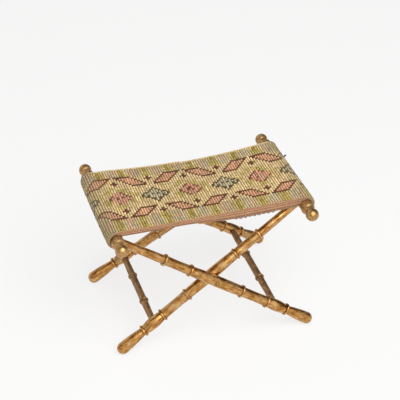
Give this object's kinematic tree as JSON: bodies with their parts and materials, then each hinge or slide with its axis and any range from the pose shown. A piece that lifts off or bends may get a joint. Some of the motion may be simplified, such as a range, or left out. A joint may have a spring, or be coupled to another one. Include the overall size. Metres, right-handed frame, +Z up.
{
  "type": "folding stool",
  "caption": "Low folding X-frame stool of gilded wood turned to look like bamboo, with ball-ended rails, splayed legs, ringed stretchers and a needlepoint sling seat.",
  "frame": {"origin": "on the floor, at the middle of the open stool's box", "axes": "+X from the outer frame's rail to the inner frame's rail, +Y from front to back, +Z up"},
  "size_m": [0.4164, 0.3114, 0.2881],
  "materials": {
    "gilded_wood": "turned wood, gilded, burnished and worn",
    "brass": "aged",
    "tack_steel": "blued, domed heads",
    "needlepoint": "wool stitches on canvas, geometric border pattern",
    "linen_backing": "plain weave",
    "edge_tape": "woven tape"
  },
  "bodies": {
    "outer_frame": {"outer_rail": "gilded_wood", "outer_finial_front": "gilded_wood", "outer_finial_back": "gilded_wood", "outer_leg_front": "gilded_wood", "outer_leg_back": "gilded_wood", "outer_stretcher": "gilded_wood", "pivot_rivet_front": "brass", "pivot_rivet_back": "brass", "rivet_roves": "brass", "leg_washer_front": "brass", "leg_washer_back": "brass", "outer_tacks": "tack_steel", "needlepoint_seat": "needlepoint", "outer_seat_wrap": "needlepoint", "seat_backing": "linen_backing", "front_binding": "edge_tape", "back_binding": "edge_tape"},
    "inner_frame": {"inner_rail": "gilded_wood", "inner_finial_front": "gilded_wood", "inner_finial_back": "gilded_wood", "inner_leg_front": "gilded_wood", "inner_leg_back": "gilded_wood", "inner_stretcher": "gilded_wood", "inner_seat_wrap": "needlepoint", "inner_tacks": "tack_steel"}
  },
  "joints": [
    {"name": "fold", "type": "hinge", "parent": "outer_frame", "child": "inner_frame", "pos_m": [0, 0, 0.1402], "axis": [0, -1, 0], "range_deg": [0, 97], "deforming": ["needlepoint_seat", "seat_backing", "front_binding", "back_binding"]}
  ]
}
